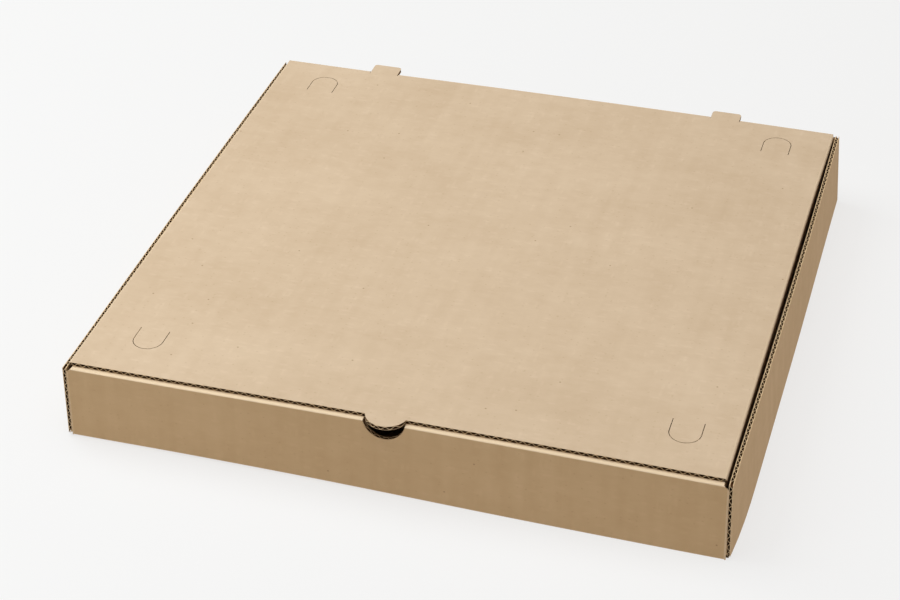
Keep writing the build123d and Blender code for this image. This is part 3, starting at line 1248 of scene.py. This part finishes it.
@dataclass(kw_only=True)
class LidCrease(BoardPart):
    """Fold between the lid and the rear wall, cut away at the tabs."""

    lid: Lid
    name: str = "lid_rear_crease"
    overhang: float = 0.8

    def __post_init__(self) -> None:
        """Lay out a quarter turn from the lid's rear edge to the rear wall's top."""
        box, radius = self.box, self.box.crease_radius
        flat = box.half_depth - radius - box.crease_y
        drop = box.lid_top - radius - box.wall_height
        steps = [Run(flat), Fold(radius, 90, 8), Run(drop)]
        self.path = FoldPath((box.crease_y, box.lid_top), 0, steps, (True, True), origin=0)

    def stations(self) -> Array:
        """Join the sides of the gaps at the tabs and an even division."""
        gaps = self.lid.tabs.edges(self.lid.tabs.play)
        end = self.lid.flat + self.overhang
        return merge_stations(gaps, np.linspace(-end, end, 31))

    def marks(self) -> Array:
        """Return the path's knots."""
        return self.path.knots

    def kept(self, across: Array) -> Array:
        """Leave out the gaps at the tabs."""
        return super().kept(across) & ~self.lid.tabs.covers(across, self.lid.tabs.play)

    def place(self, across: Array, along: Array, depth: Array) -> Array:
        """Carry the section in Y and Z straight along X."""
        y, z = self.path.at(along, depth * self.path.squeezed(along))
        x = across + self.box.lid_middle
        return np.stack([x + self.box.lid_flare(x, y), y + self.box.rear_bow(x), z], -1)

    def stretched(self, across: Array, along: Array) -> Array:
        """Read the quarter turn's mask of burnish and painted highlight."""
        return self.path.stretched(along)

    def hang(self, piece: bpy.types.Object) -> None:
        """Bake the transform of the fold, which runs from the tray at the rear wall's top to the lid,
        into its mesh.
        """
        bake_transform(piece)


@dataclass(kw_only=True)
class VentBoard(BoardPart):
    """Flat stretch of a vent flap: the bending strip at its hinge, or the flap past it."""

    vent: Vent
    hinge: bool
    slot: str = "vent_board"
    strip_cells: int = 8
    flap_cells: int = 6

    def __post_init__(self) -> None:
        """Name the stretch after its vent, and work out its bend and its round end."""
        vent = self.vent
        self.name, self.node = f"{vent.name}_{'crease' if self.hinge else 'flap'}", vent.name
        self.cells = self.strip_cells if self.hinge else self.flap_cells
        self.bend = vent.crease + vent.way * vent.hinge_run
        self.radius = vent.radius - vent.slit / 2

    def stations(self) -> Array:
        """Divide the flap's round end evenly."""
        return round_steps(self.vent.middle - self.box.lid_middle, self.radius)

    def rows(self, across: Array) -> Array:
        """Divide the stretch evenly between its two edges, towards the rear."""
        vent = self.vent
        bend = self.bend + 0 * across
        round_end = vent.round_end(across + self.box.lid_middle, self.radius)
        edges = (vent.crease + 0 * across, bend) if self.hinge else (bend, round_end)
        low, high = edges[::vent.way]
        return low + (high - low) * np.linspace(0, 1, self.cells + 1)[:, None]

    def place(self, across: Array, along: Array, depth: Array) -> Array:
        """Lay the board flat under the lid's top."""
        x = across + self.box.lid_middle
        return np.stack([x, along, self.box.lid_top - depth + self.box.crest(x, along)], -1)

    def hang(self, piece: bpy.types.Object) -> None:
        """Let the flap ride its own body, or bake the transform of the strip between the lid and it into
        its mesh.
        """
        if self.hinge:
            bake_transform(piece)
        else:
            super().hang(piece)


# ---------------------------------------------------------------- materials


def linear(red: float, green: float, blue: float) -> tuple[float, float, float, float]:
    """Turn a display colour of 0..255 a channel into the linear colour that shaders take."""
    share = np.array([red, green, blue]) / 255
    value = np.where(share <= 0.04045, share / 12.92, ((share + 0.055) / 1.055) ** 2.4)
    return (*value.tolist(), 1.0)


Value = float | tuple | bpy.types.NodeSocket


class Nodes:
    """Short hand for adding and linking the nodes of one tree."""

    def __init__(self, tree: bpy.types.NodeTree) -> None:
        """Take the tree that the nodes go into."""
        self.tree = tree

    def add(self, kind: str, inputs: dict | None = None, **settings: object) -> bpy.types.Node:
        """Add a node.

        Args:
            kind: Node type, without its ShaderNode prefix.
            inputs: Values or output sockets by input name or index.
            settings: Attributes of the node.

        Returns:
            The new node.
        """
        node = self.tree.nodes.new(f"ShaderNode{kind}")
        for key, value in settings.items():
            setattr(node, key, value)
        for key, value in (inputs or {}).items():
            if isinstance(value, bpy.types.NodeSocket):
                self.tree.links.new(value, node.inputs[key])
            else:
                node.inputs[key].default_value = value
        return node

    def math(self, operation: str, *values: Value) -> bpy.types.NodeSocket:
        """Add a Math node over numbers or sockets and return its value."""
        return self.add("Math", dict(enumerate(values)), operation=operation).outputs[0]

    def weigh(self, first: Value, weight: float, second: Value, rest: float) -> bpy.types.NodeSocket:
        """Add two values, each times its own weight, and return the sum."""
        return self.math("ADD", self.math("MULTIPLY", first, weight), self.math("MULTIPLY", second, rest))

    def mix(self, share: Value, first: Value, second: Value, blend: str = "MIX") -> bpy.types.NodeSocket:
        """Mix two colours by a share and return the colour."""
        inputs = {0: share, 6: first, 7: second}
        node = self.add("Mix", inputs, data_type="RGBA", blend_type=blend)
        return node.outputs[2]

    def spread(self, value: Value, low: float = 0.3, high: float = 0.7) -> bpy.types.NodeSocket:
        """Stretch a value from low..high to 0..1, clipped."""
        return self.add("MapRange", {0: value, 1: low, 2: high, 3: 0.0, 4: 1.0}).outputs[0]

    def noise(
        self, place: Value, stretch: tuple, detail: float = 2.0, rough: float = 0.5, shift: float = 0.0,
    ) -> bpy.types.NodeSocket:
        """Add a noise over a place, stretched by so many cells a metre on each axis."""
        inputs = {"Vector": place, "Scale": stretch, "Location": (shift, shift, shift)}
        mapped = self.add("Mapping", inputs)
        inputs = {"Vector": mapped.outputs[0], "Scale": 1.0, "Detail": detail, "Roughness": rough}
        return self.add("TexNoise", inputs).outputs["Fac"]


class PaperFibre:
    """Shader node group: the look of kraft paper over the flat blank.

    Each kind of fleck lies in a few cells of a Voronoi pattern: its cells a metre on each
    axis, its size in cells, the share of cells that hold none, and its tint.
    """

    name = "paper_fibre"
    flecks = (
        ((110, 280, 1), 0.40, 0.86, (1.03, 1.035, 1.05, 1.0)),
        ((260, 90, 1), 0.36, 0.90, (1.025, 1.03, 1.04, 1.0)),
        ((190, 270, 1), 0.16, 0.88, (0.91, 0.89, 0.86, 1.0)),
        ((50, 60, 1), 0.040, 0.95, (0.62, 0.55, 0.48, 1.0)),
    )

    @classmethod
    def group(cls) -> bpy.types.NodeTree:
        """Build the group once: fibre streaks, clouds, bands, flecks, specks and its relief."""
        tree = bpy.data.node_groups.new(cls.name, "ShaderNodeTree")
        face = tree.interface
        face.new_socket("Place", in_out="INPUT", socket_type="NodeSocketVector")
        for name in ("Streaks", "Clouds", "Bands", "Flecks", "Ribs"):
            socket = face.new_socket(name, in_out="INPUT", socket_type="NodeSocketFloat")
            socket.default_value = 0.5
        face.new_socket("Stretch", in_out="INPUT", socket_type="NodeSocketFloat")
        for name in ("Light", "Dark", "Stretched"):
            face.new_socket(name, in_out="INPUT", socket_type="NodeSocketColor")
        face.new_socket("Color", in_out="OUTPUT", socket_type="NodeSocketColor")
        face.new_socket("Height", in_out="OUTPUT", socket_type="NodeSocketFloat")
        nodes = Nodes(tree)
        given = tree.nodes.new("NodeGroupInput").outputs
        result = tree.nodes.new("NodeGroupOutput")
        place = given["Place"]

        long_streaks = nodes.noise(place, (55, 620, 1), 3, 0.6)
        short_streaks = nodes.noise(place, (260, 2100, 1), 2, 0.6, 3.7)
        wide_clouds = nodes.noise(place, (9, 14, 1), 2, 0.5, 8.1)
        small_clouds = nodes.noise(place, (70, 110, 1), 3, 0.6, 5.3)
        streaks = nodes.weigh(long_streaks, 0.5, short_streaks, 0.5)
        clouds = nodes.weigh(wide_clouds, 0.55, small_clouds, 0.45)
        bands = nodes.noise(place, (95, 9, 1), 2, 0.5, 6.9)
        streaks, clouds, bands = (
            nodes.math("MULTIPLY", nodes.spread(value), given[name])
            for value, name in ((streaks, "Streaks"), (clouds, "Clouds"), (bands, "Bands"))
        )
        tone = nodes.math("ADD", nodes.math("ADD", streaks, clouds), bands)
        color = nodes.mix(tone, given["Dark"], given["Light"])

        for scale, size, rare, flecked in cls.flecks:
            mapped = nodes.add("Mapping", {"Vector": place, "Scale": scale})
            cell = nodes.add("TexVoronoi", {"Vector": mapped.outputs[0], "Scale": 1.0})
            cell.voronoi_dimensions = "2D"
            chance = nodes.add("SeparateColor", {0: cell.outputs["Color"]}).outputs[0]
            near = nodes.math("SUBTRACT", 1.0, nodes.spread(cell.outputs["Distance"], size * 0.6, size))
            lucky = nodes.math("GREATER_THAN", chance, rare)
            share = nodes.math("MULTIPLY", nodes.math("MULTIPLY", near, lucky), given["Flecks"])
            tinted = nodes.mix(1.0, color, flecked, "MULTIPLY")
            color = nodes.mix(share, color, tinted)

        # Folds lighten the paper: partly burnish, partly painted highlight along the folds and over the
        # whole roll.
        color = nodes.mix(given["Stretch"], color, given["Stretched"])

        # The flutes show faintly through the liner as a sine across them.
        across = nodes.add("SeparateXYZ", {0: place}).outputs[0]
        turn = nodes.math("MULTIPLY", across, 2 * math.pi / (BOARD.pitch * MM))
        ribs = nodes.math("MULTIPLY", nodes.math("COSINE", turn), given["Ribs"])
        relief = nodes.math("ADD", nodes.math("MULTIPLY", streaks, 0.4), ribs)
        relief = nodes.math("ADD", relief, nodes.math("MULTIPLY", clouds, 0.5))
        tree.links.new(color, result.inputs["Color"])
        tree.links.new(relief, result.inputs["Height"])
        return tree


# lighter colour of folds and of the front wall's roll: partly burnished paper, partly painted highlight
FOLD_BURNISH_AND_HIGHLIGHT = linear(231, 208, 176)


@dataclass(frozen=True)
class Paper:
    """Finish of one kind of paper of the board."""

    name: str
    light: tuple
    dark: tuple
    roughness: float
    streaks: float
    clouds: float
    bands: float
    flecks: float
    ribs: float
    relief: float
    # stretch: how strongly folds turn this paper lighter, as burnish and painted highlight
    stretch: float = 0.0
    specular: float = 0.25

    def material(self, group: bpy.types.NodeTree) -> bpy.types.Material:
        """Make the material.

        Args:
            group: The paper fibre group.

        Returns:
            A material that reads the blank's places from the piece's UV map.
        """
        material = bpy.data.materials.new(self.name)
        material.use_nodes = True
        tree = material.node_tree
        tree.nodes.clear()
        nodes = Nodes(tree)
        place = nodes.add("UVMap", uv_map="blank").outputs[0]
        fibre = tree.nodes.new("ShaderNodeGroup")
        fibre.node_tree = group
        tree.links.new(place, fibre.inputs["Place"])
        # the stretch attribute marks folds, which take a lighter colour: burnish and painted highlight
        stretch = nodes.add("Attribute", attribute_name="stretch").outputs["Fac"]
        tree.links.new(nodes.math("MULTIPLY", stretch, self.stretch), fibre.inputs["Stretch"])
        values = {
            "Streaks": self.streaks, "Clouds": self.clouds, "Bands": self.bands,
            "Flecks": self.flecks, "Ribs": self.ribs,
            "Light": self.light, "Dark": self.dark, "Stretched": FOLD_BURNISH_AND_HIGHLIGHT,
        }
        for name, value in values.items():
            fibre.inputs[name].default_value = value
        bump = nodes.add("Bump", {
            "Height": fibre.outputs["Height"], "Strength": 1.0, "Distance": self.relief * MM,
        })
        shader = nodes.add("BsdfPrincipled", {
            "Base Color": fibre.outputs["Color"],
            "Normal": bump.outputs[0],
            "Roughness": self.roughness,
            "Specular IOR Level": self.specular,
        })
        nodes.add("OutputMaterial", {"Surface": shader.outputs[0]})
        return material


# The lid's kraft liner; its weak stretch gives a faint lighter line along the lid's folds, painted
# highlight and burnish.
LID_LINER = Paper(
    "kraft_liner_lid", linear(215, 193, 166), linear(198, 174, 145), 0.82,
    streaks=0.15, clouds=0.65, bands=0.2, flecks=1.0, ribs=0.25, relief=0.03, stretch=0.3,
)
# The tray's copy of the same liner, darker and warmer than the lid's: painted shade of the walls. Its
# full stretch paints the whole roll and the corner folds lighter, as painted highlight and burnish.
TRAY_LINER_SHADED = Paper(
    "kraft_liner_tray", linear(205, 172, 131), linear(190, 156, 114), 0.82,
    streaks=0.15, clouds=0.55, bands=0.3, flecks=0.8, ribs=0.25, relief=0.03, stretch=1.0,
)
CUT = Paper(
    "cut_paper_edge", linear(232, 204, 164), linear(206, 174, 132), 0.9,
    streaks=0.5, clouds=0.5, bands=0.0, flecks=0.3, ribs=0.0, relief=0.05,
)
# Medium faces darker than their cut edges: partly darker medium paper, partly painted shade in the flute
# hollows. The liners' faces towards the flutes take it too, as painted shade.
FLUTING = Paper(
    "fluting_medium", linear(112, 75, 42), linear(90, 59, 32), 0.9,
    streaks=0.5, clouds=0.5, bands=0.0, flecks=0.5, ribs=0.0, relief=0.04,
)


# ---------------------------------------------------------------- studio


@dataclass(frozen=True)
class Camera:
    """View of the box from its front right, a little rolled, framed off its middle."""

    azimuth: float = 18.56
    elevation: float = 32.13
    roll: float = -1.126
    distance: float = 1763.2
    right: float = -94.59
    up: float = 51.30
    lens: float = 95.46
    shift: tuple = (0.1111, -0.0667)
    sensor: float = 36.0
    clip: tuple = (0.05, 50.0)

    def build(self) -> None:
        """Make the camera and set it as the scene's.

        Its back points from the box's base to it. Right is square to that and to Z, and up
        to both. It stands back by its distance, off to the right and up by its offsets.
        """
        azimuth, elevation, roll = (
            math.radians(v) for v in (self.azimuth, self.elevation, self.roll)
        )
        back = np.array([
            math.sin(azimuth) * math.cos(elevation),
            -math.cos(azimuth) * math.cos(elevation),
            math.sin(elevation),
        ])
        level = np.cross([0, 0, 1], back)
        level /= np.linalg.norm(level)
        above = np.cross(back, level)
        right = math.cos(roll) * level + math.sin(roll) * above
        up = -math.sin(roll) * level + math.cos(roll) * above
        place = (self.right * right + self.up * up + self.distance * back) * MM
        data = bpy.data.cameras.new("camera")
        data.sensor_width, data.lens = self.sensor, self.lens
        data.shift_x, data.shift_y = self.shift
        data.clip_start, data.clip_end = self.clip
        camera = bpy.data.objects.new("camera", data)
        pose = np.eye(4)
        pose[:3, :] = np.stack([right, up, back, place], -1)
        camera.matrix_world = Matrix(pose.tolist())
        bpy.context.scene.collection.objects.link(camera)
        bpy.context.scene.camera = camera


@dataclass(frozen=True)
class Lamp:
    """Square soft lamp at a place, facing a target: metres and watts."""

    name: str
    place: tuple
    target: tuple
    size: float
    power: float
    color: tuple = (0.93, 0.98, 1.0)

    def build(self) -> None:
        """Hang the lamp, with its back away from the target and its side square to Y."""
        data = bpy.data.lights.new(self.name, "AREA")
        data.size, data.energy, data.color = self.size, self.power, self.color
        lamp = bpy.data.objects.new(self.name, data)
        back = np.array(self.place, float) - np.array(self.target, float)
        back /= np.linalg.norm(back)
        side = np.cross([0.0, 1.0, 0.0], back)
        side /= np.linalg.norm(side)
        pose = np.eye(4)
        pose[:3, :] = np.stack([side, np.cross(back, side), back, self.place], -1)
        lamp.matrix_world = Matrix(pose.tolist())
        bpy.context.scene.collection.objects.link(lamp)


LAMPS = (
    Lamp("key", (-1.2, 0.1, 1.6), (0, 0, 0), 1.4, 21),
    Lamp("fill", (-0.75, -0.95, 0.55), (-0.1, -0.2, 0), 0.5, 1.9),
)


@dataclass(frozen=True)
class Studio:
    """Pale floor, and light of the world from above and from the right."""

    floor_half: float = 6.0
    horizon: float = 0.33
    zenith: float = 3.1
    gather: float = 8.0
    floor_glow: float = 0.68
    floor_base: tuple = (0.2, 0.2, 0.2, 1)
    floor_roughness: float = 0.9
    tint: tuple = (1.0, 0.968, 0.925, 1.0)

    def floor(self) -> None:
        """Lay a large pale floor level with the box's underside, which glows to soften shadows."""
        mesh = bpy.data.meshes.new("floor")
        half = self.floor_half
        corners = [(-half, -half, 0), (half, -half, 0), (half, half, 0), (-half, half, 0)]
        mesh.from_pydata(corners, [], [(0, 1, 2, 3)])
        material = bpy.data.materials.new("floor")
        material.use_nodes = True
        shader = material.node_tree.nodes["Principled BSDF"]
        shader.inputs["Base Color"].default_value = self.floor_base
        shader.inputs["Emission Color"].default_value = (1.0, 1.0, 1.0, 1)
        shader.inputs["Emission Strength"].default_value = self.floor_glow
        shader.inputs["Roughness"].default_value = self.floor_roughness
        mesh.materials.append(material)
        floor = bpy.data.objects.new("floor", mesh)
        bpy.context.scene.collection.objects.link(floor)

    def build(self) -> None:
        """Set up the floor, the world's light and the lamps.

        The sky shines with a high power of the height of a direction, and the horizon with
        how far a direction points to the right.
        """
        self.floor()
        world = bpy.data.worlds.new("studio")
        world.use_nodes = True
        sky = world.node_tree.nodes["Background"]
        sky.inputs["Color"].default_value = self.tint
        nodes = Nodes(world.node_tree)
        way = nodes.add("SeparateXYZ", {0: nodes.add("TexCoord").outputs["Generated"]}).outputs
        right, up = nodes.math("MAXIMUM", way[0], 0.0), nodes.math("MAXIMUM", way[2], 0.0)
        above = nodes.math("MULTIPLY", nodes.math("POWER", up, self.gather), self.zenith)
        strength = nodes.math("ADD", above, nodes.math("MULTIPLY", right, self.horizon))
        world.node_tree.links.new(strength, sky.inputs["Strength"])
        bpy.context.scene.world = world
        bpy.context.scene.view_settings.view_transform = "Standard"
        for lamp in LAMPS:
            lamp.build()


# ---------------------------------------------------------------- main


def main() -> None:
    """Build the box, the studio and the camera."""
    logging.basicConfig(level=logging.INFO, format="%(name)s: %(message)s")
    group = PaperFibre.group()
    # The tray takes a darker, warmer copy of the lid's liner as painted shade.
    tray_liner_shaded, lid_liner, cut, fluting_and_shade = (
        paper.material(group) for paper in (TRAY_LINER_SHADED, LID_LINER, CUT, FLUTING)
    )
    papers = {"tray_board": [tray_liner_shaded, cut, fluting_and_shade], "lid_board": [lid_liner, cut, fluting_and_shade]}
    papers["vent_board"] = papers["lid_board"]

    box, vents, lock, tabs = Box.read(), Vent.read_all(), LockTabs(), LidTabs()
    lid = Lid(box=box, tabs=tabs, vents=vents)
    parts = [
        Base(box=box, lock=lock),
        SideWall(box=box, side=-1),
        SideWall(box=box, side=1),
        FrontWall(box=box, lock=lock),
        RearWall(box=box, tabs=tabs),
        lid,
        LidCrease(box=box, lid=lid),
        *(VentBoard(box=box, vent=vent, hinge=hinge) for vent in vents for hinge in (False, True)),
    ]
    for part in parts:
        piece = part.build(papers[part.slot])
        part.dress(piece)
        part.hang(piece)
    Studio().build()
    Camera().build()


if __name__ == "__main__":
    main()
